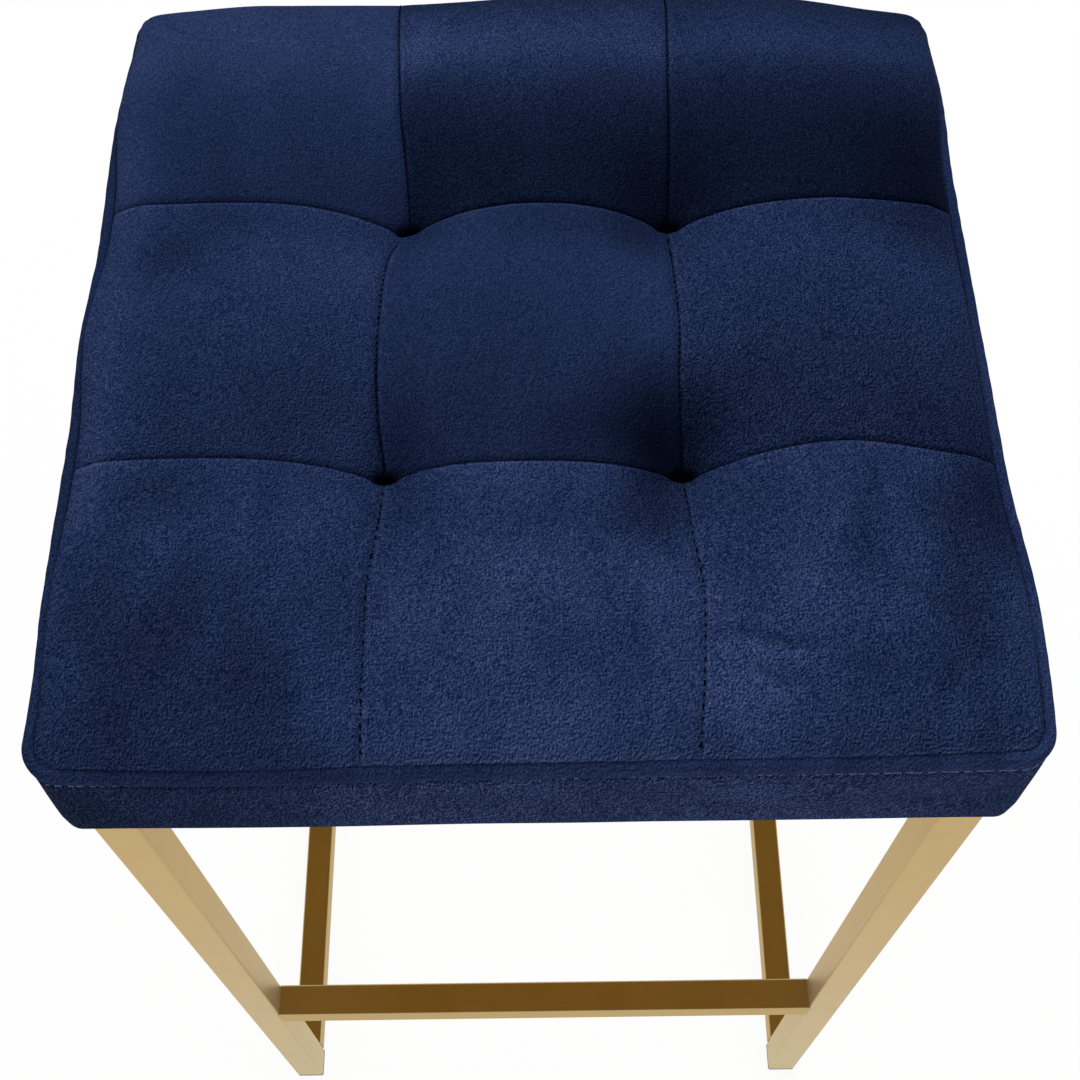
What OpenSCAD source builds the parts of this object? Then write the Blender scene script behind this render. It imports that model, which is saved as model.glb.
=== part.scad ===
// Counter stool: a square tufted cushion seat on a welded frame of square tube.
// Millimetres, +Z up, the front faces -Y, the origin is on the floor under the middle.

/* [Frame] */
// Width of the frame over the legs
frame_w = 372; // [320:1:440]
// Depth of the frame over the legs
frame_d = 384; // [320:1:440]
// Height of the frame from the floor to the top of its rails
frame_h = 603; // [480:1:720]
// Height of the top of the foot rail above the floor
foot_rail_top = 214; // [120:1:320]
// Outer side of the square tube
tube_w = 19; // [17:0.5:25]
// Wall of the tube
tube_wall = 1.2; // [0.8:0.1:2]
// Outer corner radius of the tube
tube_r = 1.6; // [0.8:0.1:2.5]
// Clear height under the floor runners
runner_lift = 5; // [4:0.5:10]
// How far the front and rear top rails sit behind the faces of the legs
rail_inset = 1.5; // [0:0.5:4]

/* [Floor glides] */
// Thickness of the glide's pad under the leg
glide_pad = 3; // [2:0.5:4]
// Length of the glide's plug inside the leg
glide_plug = 14; // [8:1:24]
// Wall of the hollow plug
glide_wall = 2; // [1.5:0.1:3]
// Room left around the plug
plug_clear = 0.1; // [0.05:0.05:0.3]

/* [Seat fixings] */
// Leg length of the three-cornered tabs welded inside the top frame
tab_l = 42; // [36:1:60]
// Thickness of the tabs
tab_t = 2.5; // [1.5:0.1:4]
// Distance of the bolt from both inner faces of the rails
bolt_in = 13; // [11:0.5:15]
// Diameter of the seat bolt's shank
bolt_d = 6; // [5:0.5:8]
// Diameter of the bolt's round head
bolt_head_d = 11; // [10:0.5:14]
// Height of the bolt's head
bolt_head_h = 3.5; // [2.5:0.5:5]
// Hexagon key size in the bolt's head
bolt_key = 4; // [3:0.5:5]
// Outer diameter of the washer
washer_d = 14; // [13:0.5:16]
// Thickness of the washer
washer_t = 1.2; // [0.8:0.1:2]
// Room around the bolt in its holes
bolt_clear = 0.3; // [0.2:0.05:0.6]
// Room around the bolt's thread in the nut
thread_clear = 0.05; // [0.02:0.01:0.1]
// Flange diameter of the nut in the seat board
nut_flange_d = 20; // [18:0.5:24]
// Flange thickness of the nut
nut_flange_t = 1.5; // [1:0.1:2]
// Barrel length of the nut
nut_barrel_l = 9; // [6:0.5:10]
// Wall of the nut's barrel
nut_wall = 1.2; // [1:0.1:1.6]
// Length of the nut's prongs
nut_prong_l = 6; // [4:0.5:8]
// Width of each prong
nut_prong_w = 3; // [2:0.5:4]
// Thickness of each prong
nut_prong_t = 1; // [0.8:0.1:1.4]

/* [Seat] */
// Overhang of the seat's side cloth past the legs, on all four sides
seat_over = 6; // [4:0.5:12]
// Height of the side cloth from the frame to the welt
border_h = 56.5; // [44:0.5:80]
// Outer corner radius of the side cloth, seen from above
border_r = 10; // [8:0.5:16]
// Thickness of the velvet with its backing
cloth_t = 1.5; // [1.2:0.1:2]
// Width of the cloth turned under the seat board
wrap_w = 48; // [42:1:60]
// Thickness of the seat board
board_t = 15; // [12:1:20]
// Room between the side cloth and what it covers
pad_clear = 0.2; // [0.1:0.05:0.4]
// Depth of the welt, measured across the seat
welt_d = 5; // [4:0.5:6]
// Height of the welt
welt_h = 8.5; // [7:0.5:10]
// How far the welt stands out past the side cloth
welt_proud = 1; // [0.5:0.25:1.5]
// Outer corner radius of the welt
welt_r = 14; // [12:0.5:20]

/* [Cushion top] */
// Height of the sewn seams above the edge where the top meets the welt
seam_rise = 11; // [6:0.5:14]
// Width of the rounded edge of the cushion
edge_roll = 22; // [16:1:40]
// Height of each panel's middle above its seams
panel_puff = 7; // [4:0.5:12]
// Depth of the four tufts below the seams
tuft_depth = 25; // [14:0.5:28]
// Radius over which a tuft draws the cushion down
tuft_spread = 12; // [8:0.5:20]
// Half width of the flat at the bottom of a tuft
tuft_flat = 6; // [5:0.5:8]
// Diameter of the tufting twine
twine_d = 1; // [0.6:0.05:1]
// Room around the twine
twine_clear = 0.2; // [0.1:0.05:0.4]
// Length of the stitch that shows in a tuft
twine_stitch = 7; // [5:0.5:9]
// Length of the twine's tail under the seat board
twine_tail = 24; // [16:1:32]
// Diameter of the twine's hole in the seat board
tuft_hole_d = 6; // [4:0.5:8]

/* [Underside] */
// Thickness of the dust cover
dust_t = 0.6; // [0.4:0.1:1]
// Gap between the dust cover's edge and the rails
dust_gap = 3; // [2:0.5:6]
// Staples along each side
staple_count = 6; // [4:1:8]
// Width of a staple's crown
staple_w = 10; // [8:0.5:12]
// Width of the staple's wire
staple_wire = 1.2; // [1:0.1:1.4]
// Thickness of the staple's wire
staple_t = 0.4; // [0.3:0.05:0.45]
// Depth of the staple's legs in the seat board
staple_bite = 5; // [3:0.5:7]
// Distance of the dust cover's staples from its edge
staple_in = 6; // [5:0.5:8]
// Room around the staples
staple_clear = 0.05; // [0.02:0.01:0.1]

/* [Hidden] */

// One overrun serves all cuts
cut_over = 0.5;
$fn = 64;

// Frame: middles of the legs and inner faces of the frame
leg_x = (frame_w - tube_w) / 2;
leg_y = (frame_d - tube_w) / 2;
inner_x = frame_w / 2 - tube_w;
inner_y = frame_d / 2 - tube_w;
rail_y = leg_y - rail_inset;
rail_inner_y = inner_y - rail_inset;
rail_z = frame_h - tube_w / 2;
runner_z = runner_lift + tube_w / 2;
foot_rail_z = foot_rail_top - tube_w / 2;
bore_w = tube_w - 2 * tube_wall;
SIDES = [-1, 1];

// Seat: outline of the side cloth and of what it covers
seat_w = frame_w + 2 * seat_over;
seat_d = frame_d + 2 * seat_over;
board_w = seat_w - 2 * (cloth_t + pad_clear);
board_d = seat_d - 2 * (cloth_t + pad_clear);
board_r = border_r - cloth_t;
board_z = frame_h + cloth_t;
board_top = board_z + board_t;
border_top = frame_h + border_h;

// Seat bolts, from below: head, washer, tab, dust cover, turned cloth, board, nut
bolt_x = inner_x - bolt_in;
bolt_y = rail_inner_y - bolt_in;
tab_top = frame_h - dust_t;
tab_z = tab_top - tab_t;
washer_z = tab_z - washer_t;
bolt_end = board_top - nut_flange_t;
nut_r = bolt_d / 2 + thread_clear + nut_wall;
bolt_hole_d = bolt_d + 2 * bolt_clear;

// Welt: middle of its section
welt_x = seat_w / 2 + welt_proud - welt_d / 2;
welt_y = seat_d / 2 + welt_proud - welt_d / 2;
welt_z = border_top + welt_h / 2;
welt_path_r = welt_r - welt_d / 2;

// Cushion top: half sizes where it meets the welt, corner radius and edge height
top_x = welt_x - welt_d / 2;
top_y = welt_y - welt_d / 2;
top_r = welt_r - welt_d;
edge_z = border_top + (welt_h + cloth_t) / 2;
// The seams divide the top into three panels each way
PANELS = 3;
seam_x = top_x / PANELS;
seam_y = top_y / PANELS;
// Grid lines between the middle and a tuft, and between a tuft and the edge, as shares
inner_line_shares = [0, 0.36, 0.7, 1];
outer_line_shares = [0, 0.16, 0.37, 0.57, 0.75, 0.88, 0.955, 1];
// A panel's middle is broad: this power of the cosine makes it so
PUFF_POWER = 0.7;

function half_lines(half, seam) = concat(
    [for (s = inner_line_shares) s * (seam - tuft_flat)],
    [seam],
    [for (s = outer_line_shares) seam + tuft_flat + s * (half - seam - tuft_flat)]);
function lines(half, seam) = let (h = half_lines(half, seam), n = len(h) - 1)
    concat([for (i = [n:-1:1]) -h[i]], h);

// A quarter circle rises from the edge over the rolled width
function roll(gap) = let (t = min(gap / edge_roll, 1)) sqrt(1 - (1 - t) * (1 - t));
function bulge(p, half) = pow(abs(cos(p / half * 90 * PANELS)), PUFF_POWER);
function past_flat(p, seam) = max(abs(abs(p) - seam) - tuft_flat, 0);
function pull(x, y) = let (r = norm([past_flat(x, seam_x), past_flat(y, seam_y)]) / tuft_spread)
    1 / (1 + r * r);
function top_z(x, y) = let (level = roll(top_x - abs(x)) * roll(top_y - abs(y)))
    edge_z + level * (seam_rise - tuft_depth * pull(x, y))
    + panel_puff * bulge(x, top_x) * bulge(y, top_y);
tuft_z = top_z(seam_x, seam_y);

// The grid's corners are drawn in to the corner radius
function corner_step(x, y) = [abs(x) - (top_x - top_r), abs(y) - (top_y - top_r)];
function drawn_in(x, y) = let (c = corner_step(x, y), far = max(c[0], c[1]))
    min(c[0], c[1]) <= 0 ? [x, y] :
    [sign(x) * (top_x - top_r + c[0] * far / norm(c)),
     sign(y) * (top_y - top_r + c[1] * far / norm(c))];

LX = lines(top_x, seam_x);
LY = lines(top_y, seam_y);
NX = len(LX);
NY = len(LY);
outer_points = [for (y = LY) for (x = LX) concat(drawn_in(x, y), [top_z(x, y)])];
inner_shrink = [(top_x - cloth_t) / top_x, (top_y - cloth_t) / top_y];
inner_points = [for (p = outer_points)
    [p[0] * inner_shrink[0], p[1] * inner_shrink[1], p[2] - cloth_t]];
// Indices of the grid's rim, once round, anticlockwise from above
rim = concat([for (i = [0:NX - 2]) i], [for (j = [0:NY - 2]) j * NX + NX - 1],
    [for (i = [NX - 1:-1:1]) (NY - 1) * NX + i], [for (j = [NY - 1:-1:1]) j * NX]);

function grid_up(start) = [for (j = [0:NY - 2]) for (i = [0:NX - 2]) for (half = [0, 1])
    let (a = start + j * NX + i)
    half == 0 ? [a, a + NX, a + NX + 1] : [a, a + NX + 1, a + 1]];
function flipped(faces) = [for (f = faces) [f[0], f[2], f[1]]];
// Two triangles per step join a rim to the one below it
function band(upper, lower) = let (n = len(upper)) [for (i = [0:n - 1]) for (half = [0, 1])
    let (k = (i + 1) % n)
    half == 0 ? [upper[i], upper[k], lower[k]] : [upper[i], lower[k], lower[i]]];
function shifted(list, by) = [for (v = list) v + by];

module rounded_plate(w, d, r) {
    square([w, d - 2 * r], center = true);
    square([w - 2 * r, d], center = true);
    for (sx = SIDES)
        for (sy = SIDES)
            translate([sx * (w / 2 - r), sy * (d / 2 - r)])
                circle(r);
}

module tube(length) {
    difference() {
        linear_extrude(length, center = true)
            rounded_plate(tube_w, tube_w, tube_r);
        linear_extrude(length + 2 * cut_over, center = true)
            square(bore_w, center = true);
    }
}

module leg(sx, sy) {
    color("burlywood")
        translate([sx * leg_x, sy * leg_y, (frame_h + glide_pad) / 2])
            tube(frame_h - glide_pad);
}

module tube_along_x(y, z) {
    color("goldenrod")
        translate([0, y, z])
            rotate([0, 90, 0])
                tube(2 * inner_x);
}

module tube_along_y(x, z) {
    color("goldenrod")
        translate([x, 0, z])
            rotate([90, 0, 0])
                tube(2 * inner_y);
}

module runner_left() tube_along_y(-leg_x, runner_z);
module runner_right() tube_along_y(leg_x, runner_z);
module runner_rear() tube_along_x(leg_y, runner_z);
module foot_rail() tube_along_x(-leg_y, foot_rail_z);
module top_rail_left() tube_along_y(-leg_x, rail_z);
module top_rail_right() tube_along_y(leg_x, rail_z);
module top_rail_front() tube_along_x(-rail_y, rail_z);
module top_rail_rear() tube_along_x(rail_y, rail_z);

// The four bolts' places
module at_bolts() {
    for (sx = SIDES)
        for (sy = SIDES)
            translate([sx * bolt_x, sy * bolt_y, 0])
                children();
}

module seat_tabs() {
    color("goldenrod")
        difference() {
            for (sx = SIDES)
                for (sy = SIDES)
                    translate([sx * inner_x, sy * rail_inner_y, tab_z])
                        linear_extrude(tab_t)
                            polygon([[0, 0], [-sx * tab_l, 0], [0, -sy * tab_l]]);
            at_bolts()
                translate([0, 0, tab_z - cut_over])
                    cylinder(h = tab_t + 2 * cut_over, d = bolt_hole_d);
        }
}

// A flat pad under the tube, with a hollow plug pushed up into it
module glide(sx, sy) {
    plug_w = bore_w - 2 * plug_clear;
    color("dimgray")
        translate([sx * leg_x, sy * leg_y, 0])
            difference() {
                union() {
                    linear_extrude(glide_pad)
                        rounded_plate(tube_w, tube_w, tube_r);
                    linear_extrude(glide_pad + glide_plug)
                        square(plug_w, center = true);
                }
                translate([0, 0, glide_pad])
                    linear_extrude(glide_plug + cut_over)
                        square(plug_w - 2 * glide_wall, center = true);
            }
}

// The four tufts' places
module at_tufts() {
    for (sx = SIDES)
        for (sy = SIDES)
            translate([sx * seam_x, sy * seam_y, 0])
                children();
}

// The nut hangs by its flange in the top of the board; the cut for it has room around it
module nut_shape(room) {
    prong_x = nut_flange_d / 2 - nut_prong_t;
    translate([0, 0, -nut_flange_t])
        cylinder(h = nut_flange_t + room, d = nut_flange_d + 2 * room);
    translate([0, 0, -nut_barrel_l])
        cylinder(h = nut_barrel_l, r = nut_r + room);
    for (turn = [0:3])
        rotate(turn * 90)
            translate([prong_x - room, -nut_prong_w / 2 - room, -nut_prong_l])
                cube([nut_prong_t + 2 * room, nut_prong_w + 2 * room, nut_prong_l]);
}

module t_nuts() {
    color("silver")
        at_bolts()
            translate([0, 0, board_top])
                difference() {
                    intersection() {
                        nut_shape(0);
                        translate([0, 0, -nut_barrel_l])
                            cylinder(h = nut_barrel_l, d = nut_flange_d);
                    }
                    translate([0, 0, -nut_barrel_l - cut_over])
                        cylinder(h = nut_barrel_l + 2 * cut_over, r = bolt_d / 2 + thread_clear);
                }
}

module seat_bolts() {
    color("gray")
        at_bolts()
            difference() {
                union() {
                    translate([0, 0, washer_z - bolt_head_h])
                        cylinder(h = bolt_head_h, d = bolt_head_d);
                    translate([0, 0, washer_z])
                        cylinder(h = bolt_end - washer_z, d = bolt_d);
                }
                translate([0, 0, washer_z - bolt_head_h - cut_over])
                    cylinder(h = bolt_head_h / 2 + cut_over, d = bolt_key / cos(30), $fn = 6);
            }
}

module bolt_washers() {
    color("silver")
        at_bolts()
            translate([0, 0, washer_z])
                difference() {
                    cylinder(h = washer_t, d = washer_d);
                    translate([0, 0, -cut_over])
                        cylinder(h = washer_t + 2 * cut_over, d = bolt_hole_d);
                }
}

// A staple with its crown's underside at height z and its legs up to the given height
module staple(z, leg_top, room) {
    translate([-staple_w / 2 - room, -staple_wire / 2 - room, z])
        cube([staple_w + 2 * room, staple_wire + 2 * room, staple_t + room]);
    for (sx = SIDES)
        translate([sx * (staple_w - staple_t) / 2, 0, (z + leg_top + room) / 2])
            cube([staple_t + 2 * room, staple_wire + 2 * room, leg_top + room - z],
                center = true);
}

// Staples in a line along each side, at the given distances from the middle
module at_staples(x, y, span_x, span_y) {
    for (i = [0:staple_count - 1]) {
        share = 2 * i / (staple_count - 1) - 1;
        for (s = SIDES) {
            translate([share * span_x, s * y, 0])
                children();
            translate([s * x, share * span_y, 0])
                rotate(90)
                    children();
        }
    }
}

cover_staple_x = leg_x;
cover_staple_y = rail_y;
dust_x = inner_x - dust_gap;
dust_y = rail_inner_y - dust_gap;
staple_top = board_z + staple_bite;
tie_z = board_z - twine_d - staple_t;
tail_middle = twine_tail / 2;

// Staples that hold the turned cloth, flush in it, and the twines' tails
module cover_staple_shapes(room) {
    at_staples(cover_staple_x, cover_staple_y, inner_x - tab_l, inner_y - tab_l)
        staple(frame_h, staple_top, room);
    at_tufts()
        translate([tail_middle, 0, 0])
            rotate(90)
                staple(tie_z, staple_top, room);
}

// Staples that hold the dust cover, between the tabs
module dust_staple_shapes(room) {
    at_staples(dust_x - staple_in, dust_y - staple_in, inner_x - tab_l - staple_w,
        rail_inner_y - tab_l - staple_w)
        staple(frame_h - dust_t - staple_t, staple_top, room);
}

module cover_staples() {
    color("lightgray")
        cover_staple_shapes(0);
}

module dust_staples() {
    color("lightgray")
        dust_staple_shapes(0);
}

module seat_board() {
    color("tan")
        difference() {
            translate([0, 0, board_z])
                linear_extrude(board_t)
                    rounded_plate(board_w, board_d, board_r);
            at_bolts()
                translate([0, 0, board_top])
                    nut_shape(pad_clear);
            at_bolts()
                translate([0, 0, board_z - cut_over])
                    cylinder(h = board_t, d = bolt_hole_d);
            at_tufts()
                translate([0, 0, board_z - cut_over])
                    cylinder(h = board_t + 2 * cut_over, d = tuft_hole_d);
            cover_staple_shapes(staple_clear);
            dust_staple_shapes(staple_clear);
        }
}

// Foam: its top is the underside of the cover, then a shoulder under the welt, then the sides
module foam_pad() {
    shoulder_z = border_top - welt_d / 2;
    widen = [board_w / 2 / (top_x - cloth_t), board_d / 2 / (top_y - cloth_t)];
    side_points = [for (z = [shoulder_z, board_top]) for (i = rim)
        [inner_points[i][0] * widen[0], inner_points[i][1] * widen[1], z]];
    n = len(rim);
    first = NX * NY;
    shoulder = [for (i = [0:n - 1]) first + i];
    foot = shifted(shoulder, n);
    middle = first + 2 * n;
    color("khaki")
        difference() {
            polyhedron(
                points = concat(inner_points, side_points, [[0, 0, board_top]]),
                faces = concat(grid_up(0), band(rim, shoulder), band(shoulder, foot),
                    [for (i = [0:n - 1]) [foot[i], foot[(i + 1) % n], middle]]));
            at_tufts()
                translate([0, 0, board_top - cut_over])
                    cylinder(h = tuft_z - board_top, d = twine_d + 2 * twine_clear);
        }
}

// Velvet top, sewn in nine panels and drawn down at the four tufts
module seat_cover() {
    first = NX * NY;
    color("midnightblue")
        difference() {
            polyhedron(
                points = concat(outer_points, inner_points),
                faces = concat(grid_up(0), flipped(grid_up(first)),
                    band(rim, shifted(rim, first))));
            at_tufts()
                translate([0, 0, tuft_z - cloth_t - cut_over])
                    cylinder(h = cloth_t + 2 * cut_over, d = twine_d + 2 * twine_clear);
        }
}

module welt_section() {
    square([welt_d, welt_h - welt_d], center = true);
    for (s = SIDES)
        translate([0, s * (welt_h - welt_d) / 2])
            circle(d = welt_d);
}

// Covered cord sewn in between the top and the side cloth
module welt() {
    run_x = 2 * (welt_x - welt_path_r);
    run_y = 2 * (welt_y - welt_path_r);
    color("navy")
        translate([0, 0, welt_z]) {
            for (s = SIDES) {
                translate([0, s * welt_y, 0])
                    rotate([90, 0, 90])
                        linear_extrude(run_x, center = true)
                            welt_section();
                translate([s * welt_x, 0, 0])
                    rotate([90, 0, 0])
                        linear_extrude(run_y, center = true)
                            welt_section();
            }
            for (turn = [0:3]) {
                mid = turn % 2 == 0 ? [run_x / 2, run_y / 2] : [run_y / 2, run_x / 2];
                rotate(turn * 90)
                    translate([mid[0], mid[1], 0])
                        rotate_extrude(angle = 90)
                            translate([welt_path_r, 0])
                                welt_section();
            }
        }
}

// Side cloth, turned under the seat board
module border() {
    color("darkblue")
        difference() {
            translate([0, 0, frame_h])
                linear_extrude(border_h)
                    rounded_plate(seat_w, seat_d, border_r);
            translate([0, 0, board_z])
                linear_extrude(border_h)
                    rounded_plate(seat_w - 2 * cloth_t, seat_d - 2 * cloth_t, board_r);
            translate([0, 0, frame_h - cut_over])
                linear_extrude(cloth_t + 2 * cut_over)
                    square([seat_w - 2 * wrap_w, seat_d - 2 * wrap_w], center = true);
            at_bolts()
                translate([0, 0, frame_h - cut_over])
                    cylinder(h = cloth_t + 2 * cut_over, d = bolt_hole_d);
            cover_staple_shapes(staple_clear);
            dust_staple_shapes(staple_clear);
        }
}

// Waxed twine: a stitch across the tuft, straight down through the foam and the board, a tail
module tuft_twines() {
    r = twine_d / 2;
    tail_z = board_z - r;
    color("black")
        at_tufts() {
            translate([-twine_stitch / 2, 0, tuft_z + r])
                rotate([0, 90, 0])
                    cylinder(h = twine_stitch, r = r);
            translate([0, 0, tail_z])
                cylinder(h = tuft_z + r - tail_z, r = r);
            translate([0, 0, tail_z])
                sphere(r);
            translate([0, 0, tail_z])
                rotate([0, 90, 0])
                    cylinder(h = twine_tail, r = r);
        }
}

module dust_cover() {
    color("darkslategray")
        difference() {
            translate([0, 0, frame_h - dust_t])
                linear_extrude(dust_t)
                    square([2 * dust_x, 2 * dust_y], center = true);
            at_bolts()
                translate([0, 0, frame_h - dust_t - cut_over])
                    cylinder(h = dust_t + 2 * cut_over, d = bolt_hole_d);
            dust_staple_shapes(staple_clear);
        }
}

leg(-1, -1);  // leg_front_left
leg(1, -1);  // leg_front_right
leg(-1, 1);  // leg_rear_left
leg(1, 1);  // leg_rear_right
runner_left();
runner_right();
runner_rear();
foot_rail();
top_rail_left();
top_rail_right();
top_rail_front();
top_rail_rear();
seat_tabs();
glide(-1, -1);  // glide_front_left
glide(1, -1);  // glide_front_right
glide(-1, 1);  // glide_rear_left
glide(1, 1);  // glide_rear_right
seat_board();
t_nuts();
seat_bolts();
bolt_washers();
foam_pad();
seat_cover();
welt();
border();
tuft_twines();
cover_staples();
dust_cover();
dust_staples();
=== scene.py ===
import math

import bpy
import numpy as np
from mathutils import Matrix, Vector, noise


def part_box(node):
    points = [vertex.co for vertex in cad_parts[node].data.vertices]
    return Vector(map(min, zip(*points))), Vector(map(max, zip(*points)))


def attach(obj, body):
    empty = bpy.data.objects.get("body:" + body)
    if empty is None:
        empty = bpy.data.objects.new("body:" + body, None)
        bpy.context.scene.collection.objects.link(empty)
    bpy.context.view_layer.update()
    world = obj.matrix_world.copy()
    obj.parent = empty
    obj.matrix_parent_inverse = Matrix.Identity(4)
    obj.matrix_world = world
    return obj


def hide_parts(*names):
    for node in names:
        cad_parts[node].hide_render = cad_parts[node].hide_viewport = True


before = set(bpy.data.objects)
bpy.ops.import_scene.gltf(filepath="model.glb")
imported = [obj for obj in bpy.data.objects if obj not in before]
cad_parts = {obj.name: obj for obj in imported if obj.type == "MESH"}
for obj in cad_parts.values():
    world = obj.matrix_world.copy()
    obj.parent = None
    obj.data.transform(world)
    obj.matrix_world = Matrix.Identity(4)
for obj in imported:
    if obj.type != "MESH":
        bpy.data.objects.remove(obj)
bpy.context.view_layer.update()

MM = 0.001
TINY = 1e-9
BODY = "root"

# Places that come from the CAD model
HALF_X, HALF_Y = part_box("seat_cover")[1][:2]
WELT_LOW, WELT_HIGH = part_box("welt")
BAND_LOW, BAND_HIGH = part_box("border")
BOARD_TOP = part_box("seat_board")[1].z
DUST_LOW, DUST_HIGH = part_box("dust_cover")

# Camera, fitted to the photograph's edges
CAMERA_PLACE = Vector((0.00378, -0.39686, 1.20377))
CAMERA_DOWN = math.radians(61.219)
CAMERA_YAW = math.radians(0.270)
CAMERA_ROLL = math.radians(-1.028)
CAMERA_LENS = 51.19
CAMERA_SENSOR = 36.0

# Cushion top: sizes and heights
PANELS = 3
SEAM_X = HALF_X / PANELS
SEAM_Y = HALF_Y / PANELS
TUFTS = [(sx * SEAM_X, sy * SEAM_Y) for sy in (1, -1) for sx in (-1, 1)]
EDGE_Z = WELT_LOW.z + 7 * MM
EDGE_R = 9 * MM
EDGE_ROLL = 20 * MM
SEAM_RISE = 9 * MM
PANEL_PUFF = 7 * MM
PUFF_POWER = 0.75
SEAM_FOLD = 1.5 * MM
CORE_INSET = 1.5 * MM
CORE_TOP = WELT_LOW.z - 2 * MM
# Forward of the rear row, the share that is left of the folds of the seams that run to the front
PRESSED_FOLD = 0.4
PRESSED_FADE = 8 * MM
# Waves of the cloth: height, how many there are in a metre, and their place in the noise
WAVES = ((0.8 * MM, 17, 3), (0.25 * MM, 60, 8))
# Grid lines: millimetres from a seam or the edge, and then evenly spaced ones from a start
LINE_GAPS = (0, 0.4, 0.8, 1.2, 1.7, 2.3, 3.0, 3.8, 4.8, 6.0, 7.5)
EVEN_START = 9.2 * MM
EVEN_LINES = 30

# Tufts: a wide dip, and a narrow hole whose front lip leans over it
DIP_DEPTH = 20 * MM
DIP_SPREAD = 24 * MM
DIP_POWER = 1.3
HOLE_DEPTH = 5.5 * MM
HOLE_WIDE = 5.5 * MM
HOLE_LONG = 3.2 * MM
LIP_REACH = 1.5 * MM
LIP_PLACE = 5 * MM
LIP_SPREAD = 3 * MM

# Cloth simulation of the cushion's top. It is held where a tuft draws it down by a share of its depth.
CLOTH_STEPS = 24
CLOTH_FRAMES = 20
CLOTH_PRESSURE = 4
CLOTH_CAP = 2.5 * MM
SEAM_HOLD = 0.35
TUFT_HOLD = 0.8

# Hand-sewn unevenness: pairs of a place, as a share of the half length, and a distance in millimetres
REAR_SEAM_BOW = ((-1, 2.5), (-0.67, 3.5), (-0.33, 0.5), (0, 2), (0.33, 0.5), (0.67, 1.6), (1, -3.5))
FRONT_SEAM_BOW = ((-1, -2.8), (-0.67, -1.6), (-0.33, -2), (0, -4.2), (0.33, -2.8), (0.67, 2.8), (1, -6))
LEFT_SEAM_BOW = (
    (-1, -2.2), (-0.67, -2.6), (-0.45, 0.6), (-0.33, 0.6), (-0.22, -2), (-0.1, -3), (0.1, -2.2), (0.2, -0.8),
    (0.29, 3), (0.35, 7.2), (0.67, 2.1), (1, 0),
)
RIGHT_SEAM_BOW = (
    (-1, -2), (-0.85, 0.8), (-0.67, 2.8), (-0.5, 0), (-0.33, -0.8), (-0.17, -1.3), (0, 0.2), (0.17, -0.7),
    (0.27, -1), (0.34, -0.4), (0.67, 2), (1, 4),
)

# How far the top stands over the welt on each side
LEFT_OVER = ((-1, 1.5), (-0.67, 3), (-0.33, 0.5), (0, 4), (0.33, 0.5), (0.67, 5.5), (1, 5))
RIGHT_OVER = ((-1, 0.5), (-0.67, 1.5), (-0.33, 0.5), (0, 1.5), (0.33, 0.5), (0.6, 3.5), (0.85, 5.5), (1, 5))
REAR_OVER = ((-1, 5), (-0.67, 5.5), (-0.33, 4.5), (0, 5.5), (0.33, 4.5), (0.67, 5.5), (1, 5))
FRONT_OVER = ((-1, 1), (-0.67, 2.5), (-0.33, 1), (0, 2), (0.33, 1), (0.67, 1.5), (1, 0))
OVER_REACH = 3.5 * MM
# How far the top's front edge is sewn out over the welt
FRONT_OUT = ((-1, 0.5), (-0.9, 1.2), (-0.5, 1.4), (0.6, 1.2), (0.9, 0.6), (1, 0))
OUT_FADE = 9 * MM

# How far each side of the seat stands out of true, and how far its edge is lifted
LEFT_SWELL = ((-1, -0.8), (-0.87, -1), (-0.62, 0.3), (-0.27, 0), (0, 2), (0.24, 0.2), (0.62, 1.6), (1, -0.8))
RIGHT_SWELL = ((-1, 0), (-0.87, 1.5), (-0.68, 2.8), (-0.36, 0), (0.42, 0), (0.74, 2.6), (1, 2))
REAR_SWELL = (
    (-1, -1), (-0.75, -0.3), (-0.6, -1.2), (-0.45, -0.6), (-0.2, 0.8), (0.1, 3), (0.5, 2.2), (0.75, -1),
    (0.88, -3.4), (1, -4.8),
)
FRONT_SWELL = ((-1, 0.5), (-0.5, 1.5), (0, 0.8), (0.5, 0.8), (1, 0.6))
# Where they begin on the way out from the middle, as shares of the half lengths
SIDE_START = 0.55
LIFT_START = 0.4
FRONT_LIFT = ((-1, -1.6), (-0.8, -2.8), (-0.53, -2.6), (-0.36, -1), (0, -0.4), (0.6, 0.4), (1, 2))
REAR_DROOP = ((-1, -3), (-0.6, 0), (0.55, 0), (1, -6))

# Pile: tone of each panel in stops, rear row first, left to right
PANEL_TONE = ((0.13, -0.94, -1.07), (0.14, 0.03, 0.02), (0.15, 0.54, 0.28))
# How much coarser the grain looks in each panel, on the welt and on the side cloth, as a share
PANEL_GRAIN = ((-0.2, 0.1, 0.05), (0, -0.22, 0.18), (0, 0, 0.05))
WELT_GRAIN = -0.3
BAND_GRAIN = 0.4
# The front row's tones run into each other this far on each side of a seam
FRONT_BLEND = 24 * MM
# A painted highlight along the front edge: its tone in the middle, its rise to the right, and its width
EDGE_HIGHLIGHT = 0.49
EDGE_SLANT = 0.21
EDGE_WIDE = 3 * MM
# Painted light and shade: lighter where a panel rises, the share of that in the front row, and a lit and a
# shaded flank beside each seam, in millimetres
SLOPE_LIGHT_SHADE = 0.26
FRONT_SLOPE = 0.4
FLANK_LIGHT_SHADE = 0.35
FLANK_PLACE = 1.6
FLANK_WIDE = 0.8
# A painted sheen along the rear edge: its tone from front to rear, and its share in each column
REAR_SHEEN = ((0.45, -0.1), (0.58, 0.05), (0.7, 0.62), (0.8, 1.25), (0.9, 0.85), (1, 0))
REAR_SHARE = (0.2, 1.0, 0.9)
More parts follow.
